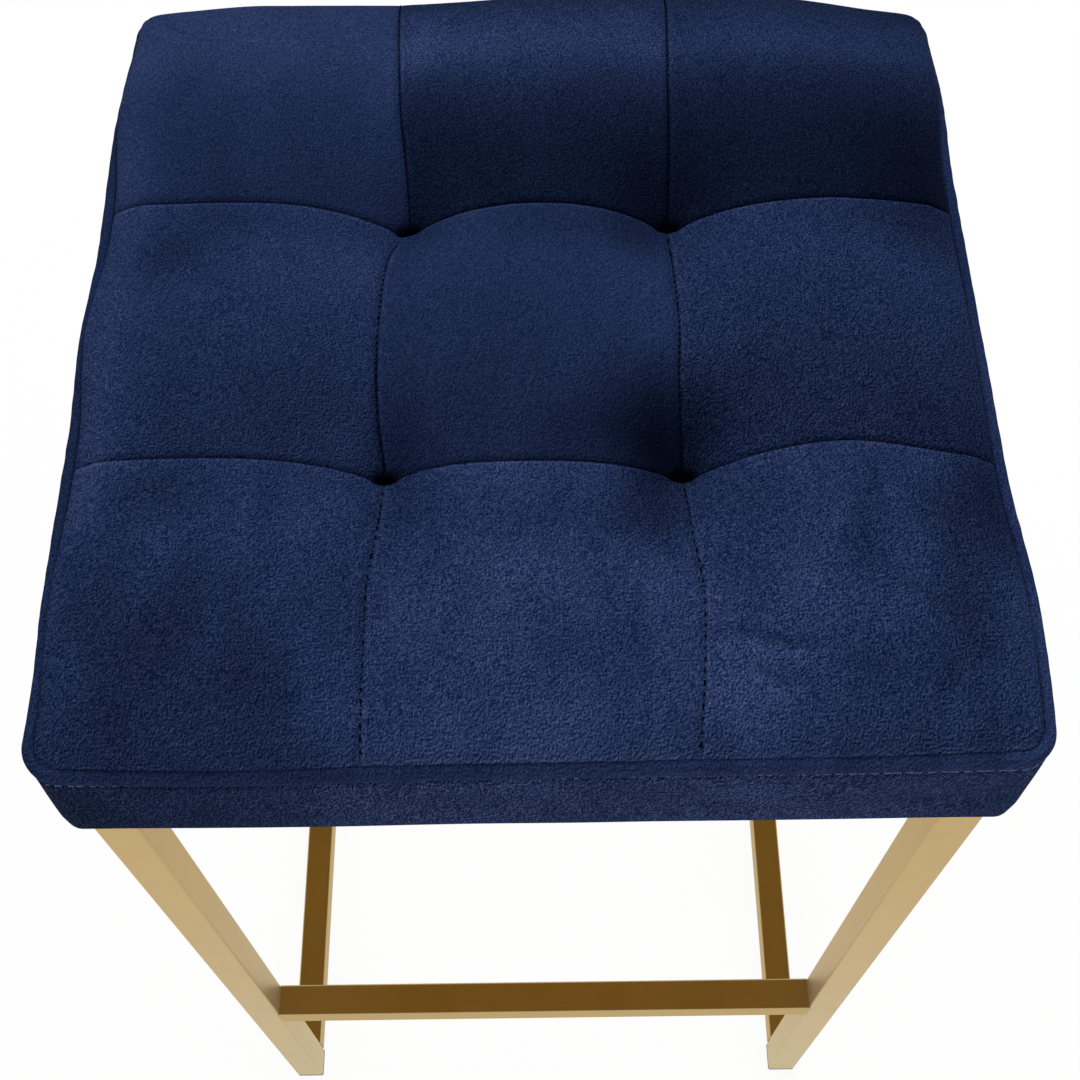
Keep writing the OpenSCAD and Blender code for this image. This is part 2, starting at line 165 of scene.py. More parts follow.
# Brushed patches and painted shade, such as dark wells round the tufts and shade along the seams and the
# right edge: place and reach in hundredths of the half lengths, tone in hundredths of a stop
BRUSHED_AND_SHADED = (
    (-97, 45, 6, 12, 50), (-97, 65, 7, 30, 35), (-92, 38, 10, 6, 25), (88, 50, 14, 10, -25),
    (38, 33, 5, 5, 30), (70, 26, 10, 6, -35), (30, -3, 12, 12, 25), (32, -27, 7, 8, -35),
    (-40, -26, 5, 5, 35), (-80, -43, 20, 9, -25), (-85, -92, 8, 7, -35), (69, -63, 6, 8, -45),
    (62, -82, 9, 6, 30), (-28, 85, 6, 12, 35), (-5, 65, 12, 10, 30), (28, 42, 12, 14, -80),
    (95, 72, 14, 22, -40), (95, 38, 15, 14, -70), (12, 28, 22, 7, -55), (27, 25, 7, 9, -45),
    (-30, 28, 12, 6, -30), (-70, 28, 20, 7, -50), (90, 26, 10, 9, -75), (-96, -10, 8, 33, 55),
    (-84, 17, 8, 7, -70), (27, -28, 10, 12, -200), (12, -26, 9, 7, -40), (-30, -25, 9, 7, -25),
    (42, -21, 8, 7, -40), (70, -17, 30, 11, -12), (24, -46, 10, 10, -100), (86, -26, 6, 7, -45),
    (96, -40, 6, 14, -80), (-96, -30, 6, 10, 30), (30, -14, 8, 7, -30), (19, -33, 6, 6, 25),
    (-96, -47, 6, 8, 50), (-83, -42, 8, 6, -35), (-76, -74, 16, 12, -35), (-62, -87, 18, 8, -35),
    (-50, -57, 8, 14, 25), (-38, -93, 5, 9, 25), (-28, -44, 9, 13, -70), (0, -48, 18, 10, -45),
    (-9, -78, 8, 12, 35), (0, -97, 60, 8, 35), (42, -42, 6, 6, -30), (90, -49, 10, 13, -90),
    (86, -74, 7, 12, -70), (60, -69, 11, 9, 45), (66, -86, 7, 7, -40), (44, -85, 10, 14, 45),
)
# Strokes left by a brush: place, half length and half width as above, angle in degrees, tone in stops.
# They bend to the sides by a share of their width.
STROKE_BEND = 0.4
STROKE_BENDS = 4
STROKES = (
    (0.45, -0.775, 0.11, 0.012, -14, -0.5), (0.46, -0.805, 0.1, 0.012, -14, 0.3),
    (0.46, -0.85, 0.06, 0.01, -22, -0.4), (0.78, -0.7, 0.06, 0.014, -30, -0.35),
    (0.8, -0.88, 0.06, 0.012, 75, -0.4), (0.7, -0.48, 0.1, 0.014, 72, -0.3),
    (0.62, -0.55, 0.08, 0.012, 64, 0.25), (0.2, -0.72, 0.08, 0.009, 88, -0.35),
    (0.14, -0.55, 0.09, 0.01, 86, -0.25), (-0.21, -0.6, 0.09, 0.01, 82, -0.25),
    (-0.36, -0.48, 0.06, 0.01, 80, -0.3),
)
# Painted light and shade along the front of the side cloth and the welt, darkest at the left corner, which
# fades towards the rear: its start and slope
BAND_LIGHT_SHADE = (
    (-1, -0.95), (-0.85, -0.55), (-0.7, -0.42), (-0.6, -0.15), (-0.5, -0.03), (-0.4, 0.5), (-0.3, 0.35),
    (0, 0.58), (0.1, 0.3), (0.3, 0.5), (0.5, 0.57), (0.7, 0.5), (0.9, 0.1), (1, 0.15),
)
BAND_FADE = (-0.3, 1.5)
WELT_LIGHT_SHADE = ((-1, 0), (-0.4, 0.05), (0.2, 0.25), (1, 0.35))
WELT_FADE = (0.5, 2)

# Painted shade in the creases: its depth and half sizes in a tuft, its depth across, and its depth in the
# forward ones in each row
TUFT_CREASE = 1.15
CREASE_WIDE = 5.4 * MM
CREASE_LONG = 4 * MM
CROSS_CREASE = 0.5
FORWARD_CREASE = (0.75, 0.45, 0.2)
# Forward seams hardly show just in front of a tuft, and get a wider, darker painted shade in front of the
# middle row
QUIET_LONG = 3 * MM
QUIET_FADE = 11 * MM
PRESSED_SEAM_SHADE = 0.85
PRESSED_WIDE = 1.5 * MM
LEFT_PRESSED = (0.1 * SEAM_Y, 0.5 * SEAM_Y)
RIGHT_PRESSED = (16 * MM - SEAM_Y, 8 * MM)

# Welt: how far it lies inside the CAD model's, how much higher it is, half its depth, and its corners
WELT_INSET = 2.5 * MM
WELT_EXTRA = 0.3 * MM
WELT_HALF = 2.8 * MM
WELT_CORNER = 11.5 * MM

# Side cloth: its inner edge, its lower edge's gaps from the outside in millimetres, how far it hangs
# below the board, the radius of its turn, its fullness, and the share of its way where it is sewn in
BAND_END = 46 * MM
BAND_GAPS = (36, 26, 16, 10, 7.5)
BAND_BEND = 6.3 * MM
BAND_DROP = 1.5 * MM
BAND_TURN = 4 * MM
BAND_FULL = 0.9 * MM
BAND_TUCK = 1.2 * MM
BAND_SEWN = 0.96
BAND_TOP = WELT_LOW.z + 0.6 * MM
# Its corner radius at the bottom and how that grows, the share of the edge's move that its bottom
# follows, and the painted shade of the crease where it is sewn in, and from where on it starts
BAND_CORNER = 8 * MM
BAND_OPENS = 4 * MM
BAND_FOLLOWS = 0.45
BAND_SHADE = 0.65
BAND_SHADED = 0.94
TURN_ROWS = 6
SIDE_ROWS = 21

# Sewing thread: its steps in the front row's seams, in the others and under the welt, its half
# thickness, and how far a bit sags for its thickness
FRONT_STEP = 4.8 * MM
SEAM_STEP = 3.2 * MM
BAND_STEP = 4.3 * MM
SEAM_THREAD = 0.47 * MM
TUFT_THREAD = 0.55 * MM
BAND_THREAD = 0.24 * MM
THREAD_SAG = 0.7
THREAD_SHAPE = ((-1, 0.05), (-0.9, 0.6), (-0.6, 1), (0.6, 1), (0.9, 0.6), (1, 0.05))
FRONT_LIMIT = -0.18
THREAD_SHOWS = ((-1, 0.7), (-0.9, 0.7), (-0.78, 0), (-0.3, 0), (0.1, 0.35), (0.5, 0.5), (0.72, 0.9), (1, 1))


def link(name, mesh):
    """A new object in the scene that holds the mesh."""
    obj = bpy.data.objects.new(name, mesh)
    bpy.context.scene.collection.objects.link(obj)
    return obj


def mesh_object(name, points, faces, smooth=True):
    """An object made from points and faces, with its faces shaded smooth."""
    mesh = bpy.data.meshes.new(name)
    mesh.from_pydata([tuple(p) for p in points], [], faces)
    mesh.validate()
    if smooth:
        mesh.polygons.foreach_set("use_smooth", [True] * len(mesh.polygons))
    mesh.update()
    return link(name, mesh)


def coat(obj, material, slot):
    """Gives a piece its material. Its slot is not used."""
    obj.data.materials.clear()
    obj.data.materials.append(material)


def finish_piece(obj, material, slot):
    """Coats a new piece and gives it its place on the rigid body."""
    coat(obj, material, slot)
    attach(obj, BODY)


def place_camera():
    data = bpy.data.cameras.new("camera")
    data.lens = CAMERA_LENS
    data.sensor_width = CAMERA_SENSOR
    data.clip_start = 0.01
    data.clip_end = 50
    obj = link("camera", data)
    turn = Matrix.Rotation(CAMERA_YAW, 4, "Z")
    tilt = Matrix.Rotation(math.pi / 2 - CAMERA_DOWN, 4, "X")
    roll = Matrix.Rotation(CAMERA_ROLL, 4, "Z")
    obj.matrix_world = Matrix.Translation(CAMERA_PLACE) @ turn @ tilt @ roll
    bpy.context.scene.camera = obj


class Nodes:
    """A short way to build a node tree: each call adds a node and links what it is given."""

    def __init__(self, owner):
        owner.use_nodes = True
        self.tree = owner.node_tree
        self.tree.nodes.clear()

    def add(self, kind, **settings):
        node = self.tree.nodes.new(kind)
        for name, value in settings.items():
            setattr(node, name, value)
        return node

    def made(self, kind, **inputs):
        """A node with its inputs given by name."""
        node = self.add(kind)
        for name, value in inputs.items():
            self.fill(node.inputs[name.replace("_", " ")], value)
        return node

    def fill(self, socket, value):
        if isinstance(value, bpy.types.NodeSocket):
            self.tree.links.new(value, socket)
        elif hasattr(value, "__len__") and len(value) == 3 and socket.type == "RGBA":
            socket.default_value = (*value, 1)
        else:
            socket.default_value = value

    def math(self, operation, a, b=0.5, c=0.0):
        return self.joined("ShaderNodeMath", a, b, c, operation=operation)

    def mix(self, share, a, b, blend="MIX"):
        node = self.add("ShaderNodeMix", data_type="RGBA", blend_type=blend)
        self.fill(node.inputs[0], share)
        self.fill(node.inputs[6], a)
        self.fill(node.inputs[7], b)
        return node.outputs[2]

    def span(self, value, low, high, to_low=0.0, to_high=1.0, smooth=False):
        kind = "SMOOTHSTEP" if smooth else "LINEAR"
        values = (value, low, high, to_low, to_high)
        return self.joined("ShaderNodeMapRange", *values, interpolation_type=kind)

    def place(self, stretch=(1, 1, 1), turn=(0, 0, 0), shift=(0, 0, 0)):
        """Object coordinates in metres, stretched, turned and shifted."""
        source = self.add("ShaderNodeTexCoord").outputs["Object"]
        inputs = {"Vector": source, "Scale": stretch, "Rotation": turn, "Location": shift}
        return self.made("ShaderNodeMapping", **inputs).outputs[0]

    def along(self, axis):
        """One of the object coordinates."""
        return self.made("ShaderNodeSeparateXYZ", Vector=self.place()).outputs[axis]

    def noise(self, scale, detail=2.0, rough=0.5, distort=0.0, vector=None):
        place = vector if vector is not None else self.place()
        looks = {"Scale": scale, "Detail": detail, "Roughness": rough, "Distortion": distort}
        return self.made("ShaderNodeTexNoise", Vector=place, **looks).outputs["Fac"]

    def attribute(self, name):
        return self.add("ShaderNodeAttribute", attribute_name=name).outputs["Fac"]

    def bump(self, height, distance, strength=0.5):
        return self.made("ShaderNodeBump", Height=height, Distance=distance, Strength=strength).outputs[0]

    def joined(self, kind, *values, **settings):
        """The output of a node with its inputs given in order."""
        node = self.add(kind, **settings)
        for socket, value in zip(node.inputs, values):
            self.fill(socket, value)
        return node.outputs[0]

    def rays(self, *kinds):
        """1 where a ray is of one of the kinds, else 0."""
        path = self.add("ShaderNodeLightPath")
        found = path.outputs[f"Is {kinds[0]} Ray"]
        for kind in kinds[1:]:
            found = self.math("MAXIMUM", found, path.outputs[f"Is {kind} Ray"])
        return found

    def output(self, shader, kind="ShaderNodeOutputMaterial"):
        self.made(kind, Surface=shader)

    def surface(self, **inputs):
        """A Principled shader on the material's output."""
        self.output(self.made("ShaderNodeBsdfPrincipled", **inputs).outputs[0])


# Studio: the ceiling starts and is full at two heights of a ray, and the floor fades between two distances
WHITE = (1, 1, 1)
CEILING_GLOSS = (0.265, 0.163, 0.032)
CEILING_RISE = (0.15, 0.6)
SKY_LIGHT = (0.5, 0.5, 0.5)
FLOOR_ALBEDO = (0.8, 0.8, 0.8)
FLOOR_SHOW = 0.93
FLOOR_FADE = (1.3, 3.5)
FLOOR_HALF = 20
FLOOR_Z = -0.2 * MM


def light_world():
    """White for the camera, a warm dark ceiling above a white horizon in reflections, soft sky light."""
    world = bpy.data.worlds.new("studio")
    bpy.context.scene.world = world
    nodes = Nodes(world)
    way = nodes.add("ShaderNodeTexCoord").outputs["Generated"]
    height = nodes.made("ShaderNodeSeparateXYZ", Vector=way).outputs["Z"]
    height = nodes.span(height, *CEILING_RISE, smooth=True)
    gloss = nodes.mix(height, WHITE, CEILING_GLOSS)
    colour = nodes.mix(nodes.rays("Glossy", "Transmission"), SKY_LIGHT, gloss)
    colour = nodes.mix(nodes.rays("Camera"), colour, WHITE)
    nodes.output(nodes.made("ShaderNodeBackground", Color=colour).outputs[0], "ShaderNodeOutputWorld")


def lay_floor():
    """A pale floor that looks white, keeps a soft shadow and fades into the background far away. Its
    underside lets the camera through."""
    signs = ((-1, -1), (1, -1), (1, 1), (-1, 1))
    corners = [(sx * FLOOR_HALF, sy * FLOOR_HALF, FLOOR_Z) for sx, sy in signs]
    floor = mesh_object("floor", corners, [(0, 1, 2, 3)], smooth=False)
    material = bpy.data.materials.new("floor")
    nodes = Nodes(material)
    far = nodes.add("ShaderNodeVectorMath", operation="LENGTH")
    nodes.fill(far.inputs[0], nodes.place())
    fade = nodes.span(far.outputs["Value"], *FLOOR_FADE, 0.0, 1 - FLOOR_SHOW)
    strength = nodes.math("MULTIPLY_ADD", fade, nodes.rays("Camera"), FLOOR_SHOW)
    plain = nodes.made("ShaderNodeBsdfDiffuse", Color=FLOOR_ALBEDO).outputs[0]
    soft = nodes.made("ShaderNodeBsdfDiffuse", Color=(1 - FLOOR_SHOW,) * 3).outputs[0]
    glow = nodes.made("ShaderNodeEmission", Color=WHITE, Strength=strength).outputs[0]
    clear = nodes.add("ShaderNodeBsdfTransparent").outputs[0]
    shown = nodes.joined("ShaderNodeAddShader", soft, glow)
    top = nodes.rays("Glossy", "Transmission", "Camera")
    top = nodes.joined("ShaderNodeMixShader", top, plain, shown)
    behind = nodes.add("ShaderNodeNewGeometry").outputs["Backfacing"]
    nodes.output(nodes.joined("ShaderNodeMixShader", behind, top, clear))
    floor.data.materials.append(material)


def hang_lamp(name, place, aim, size, power):
    """A square area lamp that faces its aim."""
    data = bpy.data.lights.new(name, "AREA")
    data.size = size
    data.energy = power
    obj = link(name, data)
    obj.location = place
    obj.rotation_mode = "QUATERNION"
    obj.rotation_quaternion = (Vector(aim) - Vector(place)).to_track_quat("-Z", "Y")
    obj.visible_glossy = False


def light_lamps():
    seat = (0, 0, 0.65)
    hang_lamp("lamp_rear", place=(0.4, 1.6, 2.05), aim=seat, size=1.3, power=32)
    hang_lamp("lamp_front", place=(-0.6, -1.8, 1.9), aim=seat, size=1.5, power=12)


# Finishes: the range that most of a noise lies in, and a plain finish's relief and change of roughness
NOISE_SPAN = (0.3, 0.7)
PLAIN_RELIEF = 0.05 * MM
PLAIN_ROUGH = 0.06
# Plating: the height at which its upper colour is full, below which it is painted paler as a painted
# reflection of the white floor, its clouds and its rub marks
GOLD_RISE = 0.6
GOLD_TINT = (0.85, 0.72, 0.5, 1)
CLOUD_SCALE = 26
CLOUD_TONE = 0.04
CLOUD_ROUGH = 0.03
RUB_SCALE = 900
CLOUD_SPAN = (0.2, 0.8)
RUB_DEPTH = 0.01 * MM
RUB_STRENGTH = 0.4


def gold_material(name, low_colour, high_colour, metal, rough):
    """Satin gold-coloured plating, painted paler towards the floor as a painted reflection of the white
    floor: a faint cloudiness and fine rub marks.
    """
    material = bpy.data.materials.new(name)
    nodes = Nodes(material)
    cloud = nodes.noise(CLOUD_SCALE, detail=3)
    # Painted reflection: the colour grows paler towards the floor
    colour = nodes.mix(nodes.span(nodes.along("Z"), 0, GOLD_RISE), low_colour, high_colour)
    shade = nodes.span(cloud, *NOISE_SPAN, 1 - CLOUD_TONE, 1 + CLOUD_TONE)
    nodes.surface(
        Base_Color=nodes.mix(1.0, colour, shade, blend="MULTIPLY"),
        Metallic=metal,
        Roughness=nodes.span(cloud, *CLOUD_SPAN, rough - CLOUD_ROUGH, rough + CLOUD_ROUGH),
        Specular_Tint=GOLD_TINT,
        Normal=nodes.bump(nodes.noise(RUB_SCALE), RUB_DEPTH, RUB_STRENGTH),
    )
    return material


# Pile: its grain acts on red, green and blue by different shares, a painted sheen that makes lit tips
# look paler. Each share of the grain's sides takes off a noise that is shifted to one side, which leaves
# a painted highlight on one side of each grain and painted shade on the other.
PILE_COLOUR = (0.0116, 0.0216, 0.0655)
GRAIN_SHEEN_SHARES = (0.365, 0.28, 0.168)
GRAIN_POWER = 2.4
GRAIN_SCALE = 1250
GRAIN_STRETCH = (1, 0.87, 0.42)
GRAIN_SHIFT = (0.36 * MM, -0.32 * MM, -0.36 * MM)
GRAIN_PAINTED_SIDES = (1.3, 0.7)
GRAIN_PLAIN = 0.5
GRAIN_DISTORT = 0.2
GRAIN_CONTRAST = (1.85, 1.5)
CONTRAST_FADE = (-0.11, 0.04)
LEAST_LIT = 0.1
# Painted sheen: how much more red and green a lighter pile shows
SHEEN_PALE_SHARES = (0.1, 0.04, 0.0)
# Rubbed patches: their noise and their tone in stops, and where the front row's wear fades to its rest
PATCH_SCALE = 36
PATCH_STRETCH = (1, 0.5, 1)
PATCH_TURN = (0, 0, 0.25)
PATCH_SPAN = (0.32, 0.7)
PATCH_TONE = (-0.2, 0.16)
WORN_FADE = (-0.09, -0.05)
WORN_REST = 0.45
# How much painted shade darkens a crease, and the pile's relief
CREASE_SHADE = 0.8
PILE_RELIEF = 0.06 * MM


def velvet_material(name):
    """Short pile: a grain with a painted highlight on one side of its tips and a painted sheen that pales
    them, rubbed patches, a tone per point that holds the pile's own tone with painted light and shade,
    and painted shade in the creases."""
    material = bpy.data.materials.new(name)
    nodes = Nodes(material)
    worn = nodes.span(nodes.along("Y"), *WORN_FADE, 1.0, WORN_REST)
    tips = nodes.noise(GRAIN_SCALE, detail=0, distort=GRAIN_DISTORT, vector=nodes.place(GRAIN_STRETCH))
    fine = nodes.math("MULTIPLY", nodes.math("SUBTRACT", tips, 0.5), sum(GRAIN_PAINTED_SIDES) + GRAIN_PLAIN)
    # Painted highlight and shade: each grain is made lighter on one side and darker on the other
    for share, way in zip(GRAIN_PAINTED_SIDES, (1, -1)):
        spot = nodes.place(GRAIN_STRETCH, shift=[way * s for s in GRAIN_SHIFT])
        beside = nodes.noise(GRAIN_SCALE, detail=0, distort=GRAIN_DISTORT, vector=spot)
        fine = nodes.math("MULTIPLY_ADD", nodes.math("SUBTRACT", beside, 0.5), -share, fine)
    spot = nodes.place(PATCH_STRETCH, PATCH_TURN)
    patches = nodes.noise(PATCH_SCALE, detail=1, rough=0.4, distort=0.5, vector=spot)
    rubbed = nodes.span(patches, *PATCH_SPAN, *PATCH_TONE, smooth=True)
    contrast = nodes.span(nodes.along("Y"), *CONTRAST_FADE, *GRAIN_CONTRAST)
    contrast = nodes.math("MULTIPLY_ADD", contrast, nodes.attribute("coarse"), contrast)
    # The per-point tone holds the pile's own tone and painted light and shade
    tone = nodes.math("MULTIPLY_ADD", rubbed, worn, nodes.attribute("nap"))
    grain = nodes.math("MULTIPLY", fine, contrast)
    # Painted shade: the colour is darkened in the creases of the tufts and seams
    after_crease_shade = nodes.math("SUBTRACT", 1.0, nodes.math("MULTIPLY", nodes.attribute("crease"), CREASE_SHADE))
    light = nodes.math("MAXIMUM", tone, 0.0)
    tone = nodes.math("MULTIPLY", nodes.math("POWER", 2.0, tone), after_crease_shade)
    colour = nodes.add("ShaderNodeCombineColor")
    # Painted sheen: the lighter the pile, the paler its red and green
    for socket, full, share, pale in zip(colour.inputs, PILE_COLOUR, GRAIN_SHEEN_SHARES, SHEEN_PALE_SHARES):
        paler = nodes.math("MULTIPLY_ADD", light, pale, 1.0)
        lit = nodes.math("MAXIMUM", nodes.math("MULTIPLY_ADD", grain, share, paler), LEAST_LIT)
        lit = nodes.math("MULTIPLY", nodes.math("POWER", lit, GRAIN_POWER), full)
        nodes.fill(socket, nodes.math("MULTIPLY", lit, tone))
    nodes.surface(
        Base_Color=colour.outputs[0],
        Roughness=0.92,
        Specular_IOR_Level=0.02,
        Specular_Tint=(0.3, 0.5, 1.0, 1),
        Sheen_Weight=0.05,
        Sheen_Roughness=0.4,
        Sheen_Tint=(0.12, 0.22, 0.6, 1),
        Normal=nodes.bump(tips, PILE_RELIEF),
    )
    return material


def plain_material(name, colour, spread, scale, rough, metal=0.0, shine=0.5):
    """A simple finish: two close tones in a noise of the given scale, with the same noise as relief."""
    material = bpy.data.materials.new(name)
    nodes = Nodes(material)
    grain = nodes.noise(scale, detail=3)
    low = [c * (1 - spread) for c in colour]
    high = [min(c * (1 + spread), 1) for c in colour]
    nodes.surface(
        Base_Color=nodes.mix(nodes.span(grain, *NOISE_SPAN), low, high),
        Metallic=metal,
        Specular_IOR_Level=shine,
        Roughness=nodes.span(grain, *NOISE_SPAN, rough - PLAIN_ROUGH, rough + PLAIN_ROUGH),
        Normal=nodes.bump(grain, PLAIN_RELIEF),
    )
    return material


def eased(pairs, p):
    """A smooth line in metres through pairs of a place and millimetres, which never overshoots them."""
    spots = np.array([a for a, b in pairs], float)
    values = np.array([b for a, b in pairs], float) * MM
    step = np.diff(spots)
    rise = np.diff(values) / step
    slope = np.zeros_like(values)
    same = rise[:-1] * rise[1:] > 0
    slope[1:-1][same] = (2 * rise[:-1] * rise[1:] / np.where(same, rise[:-1] + rise[1:], 1))[same]
    p = np.clip(p, spots[0], spots[-1])
    k = np.clip(np.searchsorted(spots, p) - 1, 0, len(step) - 1)
    t = (p - spots[k]) / step[k]
    start = values[k] * (1 + 2 * t) * (1 - t) ** 2 + slope[k] * step[k] * t * (1 - t) ** 2
    end = values[k + 1] * t**2 * (3 - 2 * t) + slope[k + 1] * step[k] * t**2 * (t - 1)
    return start + end


def smooth(t):
    t = np.clip(t, 0, 1)
    return t * t * (3 - 2 * t)


def rising(p, start):
    """0 up to the start, and from there smoothly up to 1 at 1."""
    return smooth((p - start) / (1 - start))


def whole_lines(half):
    """Grid lines across the cushion, close together at the seams and the edge."""
    seam = half / PANELS
    gaps = [v * MM for v in LINE_GAPS] + list(np.linspace(EVEN_START, seam, EVEN_LINES))
    upper = sorted({round(max(p, 0), 6) for gap in gaps for p in (seam - gap, seam + gap, half - gap)})
    return np.array([-v for v in reversed(upper[1:])] + upper)


def rolled(u, v):
    """The rounded edge of the cushion: a quarter circle over the rolled width on each side."""
    t_x, t_y = (np.clip((half - np.abs(p)) / EDGE_ROLL, 0, 1) for half, p in ((HALF_X, u), (HALF_Y, v)))
    return np.sqrt(1 - (1 - t_x) ** 2) * np.sqrt(1 - (1 - t_y) ** 2)


def bulge(p, half):
    return np.abs(np.cos(p / half * math.pi / 2 * PANELS)) ** PUFF_POWER


def tuft_depth(u, v):
    """How far the tufts draw the cloth down."""
    depth = np.zeros_like(u)
    for cu, cv in TUFTS:
        far = np.hypot(u - cu, v - cv)
        depth += DIP_DEPTH * np.exp(-((far / DIP_SPREAD) ** DIP_POWER))
        depth += HOLE_DEPTH * np.exp(-(((u - cu) / HOLE_WIDE) ** 2) - ((v - cv) / HOLE_LONG) ** 2)
    return depth


def tuft_lip(u, v):
    """How far the cloth in front of each tuft leans back over the hole."""
    lean = np.zeros_like(u)
    for cu, cv in TUFTS:
        far = np.hypot(u - cu, v - cv)
        ahead = np.clip((cv - v) / np.maximum(far, MM), 0, 1)
        lean += LIP_REACH * ahead * np.exp(-(((far - LIP_PLACE) / LIP_SPREAD) ** 2))
    return lean


def drawn_in(x, y):
    """Draws the grid's corners in to the cushion's corner radius."""
    step_x = np.abs(x) - (HALF_X - EDGE_R)
    step_y = np.abs(y) - (HALF_Y - EDGE_R)
    far = np.maximum(step_x, step_y)
    length = np.maximum(np.hypot(step_x, step_y), TINY)
    corner = np.minimum(step_x, step_y) > 0
    new_x = np.sign(x) * (HALF_X - EDGE_R + step_x * far / length)
    new_y = np.sign(y) * (HALF_Y - EDGE_R + step_y * far / length)
    return np.where(corner, new_x, x), np.where(corner, new_y, y)


def tent(p, peak, low, high):
    """1 at the peak, falling evenly to 0 at low and high."""
    return np.interp(p, (low, peak, high), (0, 1, 0))


def seam_bow(u, v):
    """How far the seams stray from straight, faded out between them."""
    su, sv = u / HALF_X, v / HALF_Y
    move_x = eased(LEFT_SEAM_BOW, sv) * tent(u, -SEAM_X, -HALF_X, SEAM_X)
    move_x += eased(RIGHT_SEAM_BOW, sv) * tent(u, SEAM_X, -SEAM_X, HALF_X)
    move_y = eased(FRONT_SEAM_BOW, su) * tent(v, -SEAM_Y, -HALF_Y, SEAM_Y)
    move_y += eased(REAR_SEAM_BOW, su) * tent(v, SEAM_Y, -SEAM_Y, HALF_Y)
    return move_x, move_y


def stands_over(gap, reach):
    """Outward lean of the top near its edge, so that it stands over the welt."""
    return reach * (gap / OVER_REACH) * np.exp(1 - gap / OVER_REACH)


def lean_over(u, v):
    su, sv = u / HALF_X, v / HALF_Y
    move_x = stands_over(HALF_X - u, eased(RIGHT_OVER, sv)) - stands_over(HALF_X + u, eased(LEFT_OVER, sv))
    move_y = stands_over(HALF_Y - v, eased(REAR_OVER, su)) - stands_over(HALF_Y + v, eased(FRONT_OVER, su))
    move_y = move_y - eased(FRONT_OUT, su) * np.exp(-(HALF_Y + v) / OUT_FADE)
    return move_x, move_y


def edge_move(x, y):
    """How far the seat's edge stands out of true at a place, fading towards the seat's middle."""
    su, sv = x / HALF_X, y / HALF_Y
    near_x = rising(np.abs(su), SIDE_START)
    near_y = rising(np.abs(sv), SIDE_START)
    move_x = np.where(x > 0, eased(RIGHT_SWELL, sv), -eased(LEFT_SWELL, sv)) * near_x
    move_y = np.where(y > 0, eased(REAR_SWELL, su), -eased(FRONT_SWELL, su)) * near_y
    lift = eased(FRONT_LIFT, su) * rising(-sv, LIFT_START)
    return move_x, move_y, lift + eased(REAR_DROOP, su) * rising(sv, SIDE_START)


def cushion_shape(u, v):
    """The cushion's top: heights over the grid, with seams that bow and edges that stand out of true."""
    puff = PANEL_PUFF * bulge(u, HALF_X) * bulge(v, HALF_Y)
    z = EDGE_Z + rolled(u, v) * (SEAM_RISE - tuft_depth(u, v)) + puff
    x, y = drawn_in(u, v)
    for move in (seam_bow(u, v), lean_over(u, v)):
        x = x + move[0]
        y = y + move[1]
    y = y + tuft_lip(u, v)
    move_x, move_y, lift = edge_move(u, v)
    return np.stack([x + move_x, y + move_y, z + lift], axis=-1)


def rim_indices(nx, ny):
    """Indices of a grid's rim, once round, anticlockwise from above."""
    at = np.arange(nx * ny).reshape(ny, nx)
    return np.concatenate([at[0, :-1], at[:-1, -1], at[-1, :0:-1], at[:0:-1, 0]]).tolist()


def grid_faces(nx, ny):
    return [
        (j * nx + i, j * nx + i + 1, (j + 1) * nx + i + 1, (j + 1) * nx + i)
        for j in range(ny - 1)
        for i in range(nx - 1)
    ]


def bridge(lower, upper):
    """Quads between two closed rings of the same length."""
    n = len(upper)
    return [(lower[i], lower[(i + 1) % n], upper[(i + 1) % n], upper[i]) for i in range(n)]


def closed_form(top):
    """Points and faces of the cushion: its top, its sides inside the side cloth, flat on the board."""
    ny, nx = top.shape[:2]
    points = [tuple(p) for p in top.reshape(-1, 3)]
    faces = grid_faces(nx, ny)
    rim = rim_indices(nx, ny)
    upper = rim
    for height in (CORE_TOP, BOARD_TOP):
        lower = list(range(len(points), len(points) + len(rim)))
        for i in rim:
            x, y, _ = points[i]
            points.append((x * (1 - CORE_INSET / HALF_X), y * (1 - CORE_INSET / HALF_Y), height))
        faces += bridge(lower, upper)
        upper = lower
    faces.append(tuple(reversed(upper)))
    return points, faces


def catmull_rom(count, places):
    """Weights that carry values on evenly spaced lines, from -1 to 1, to other places."""
    at = (np.asarray(places) + 1) / 2 * (count - 1)
    base = np.clip(np.floor(at).astype(int), 0, count - 2)
    t = at - base
    shares = (
        (-(t**3) + 2 * t**2 - t) / 2,
        (3 * t**3 - 5 * t**2 + 2) / 2,
        (-3 * t**3 + 4 * t**2 + t) / 2,
        (t**3 - t**2) / 2,
    )
    weights = np.zeros((len(at), count))
    for k, share in enumerate(shares):
        column = np.clip(base + k - 1, 0, count - 1)
        np.add.at(weights, (np.arange(len(at)), column), share)
    return weights


